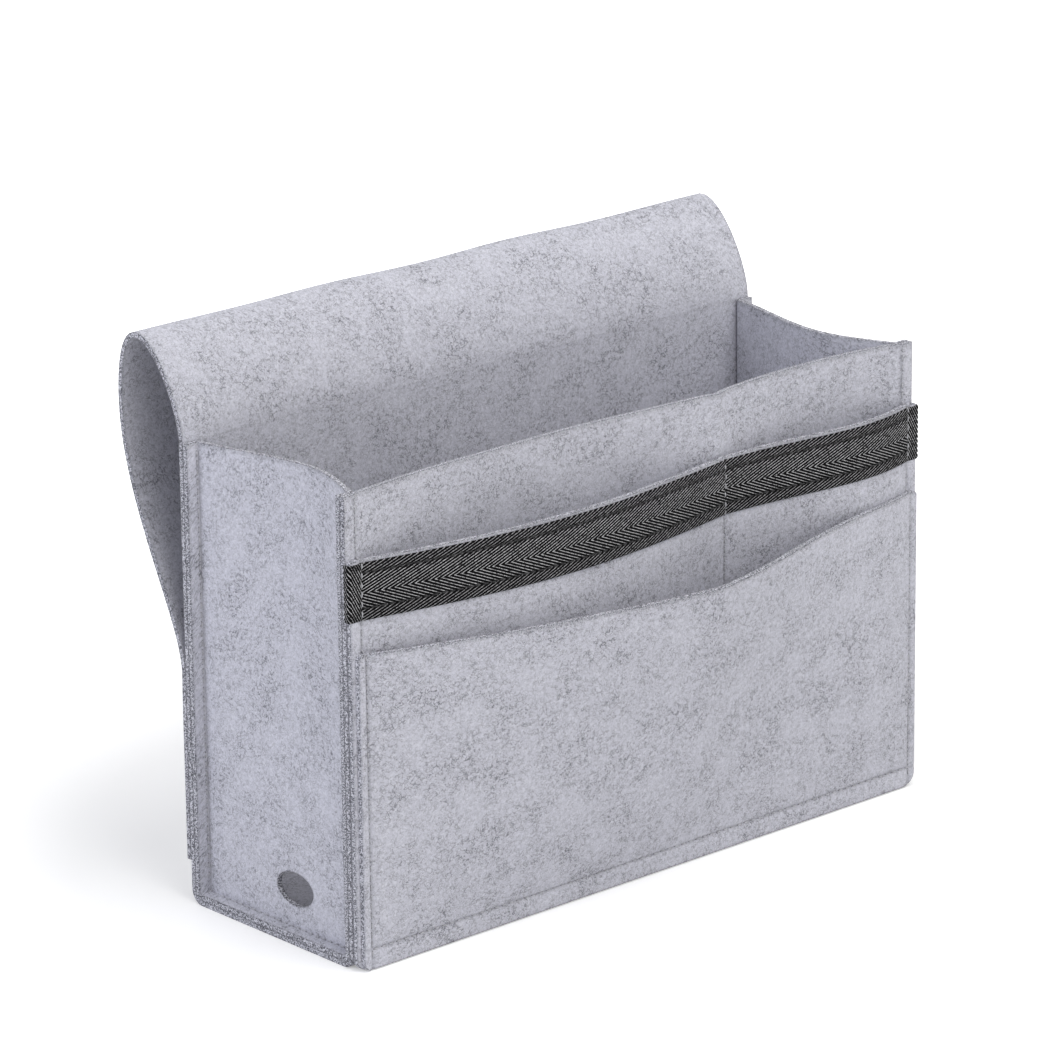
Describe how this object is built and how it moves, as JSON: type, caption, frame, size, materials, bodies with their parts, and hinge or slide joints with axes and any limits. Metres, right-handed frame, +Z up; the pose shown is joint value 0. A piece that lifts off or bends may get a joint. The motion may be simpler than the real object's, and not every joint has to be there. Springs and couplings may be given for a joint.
{
  "type": "bedside caddy",
  "caption": "Felt bedside caddy: open box with tablet, phone and front pockets, a herringbone-taped pocket edge, cable holes and a flap that tucks under a mattress",
  "frame": {"origin": "middle of the underside of the base, between the front wall and the back wall", "axes": "+X to the right along the front as seen from the front, +Y from the front pocket to the mattress flap, +Z up"},
  "size_m": [0.3086, 0.1689, 0.2313],
  "materials": {
    "felt": "heathered light grey pressed felt with dark fibre flecks and raw cut edges",
    "herringbone_tape": "charcoal woven herringbone tape"
  },
  "bodies": {
    "caddy": {"body_strip": "felt", "left_gusset": "felt", "right_gusset": "felt", "device_pocket": "felt", "front_pocket": "felt", "pocket_tape": "herringbone_tape"},
    "flap": {"mattress_flap": "felt"}
  },
  "joints": [
    {"name": "flap_fold", "type": "hinge", "parent": "caddy", "child": "flap", "pos_m": [0, 0.06376, 0.22581], "axis": [1, 0, 0], "range_deg": [0, 120]}
  ]
}
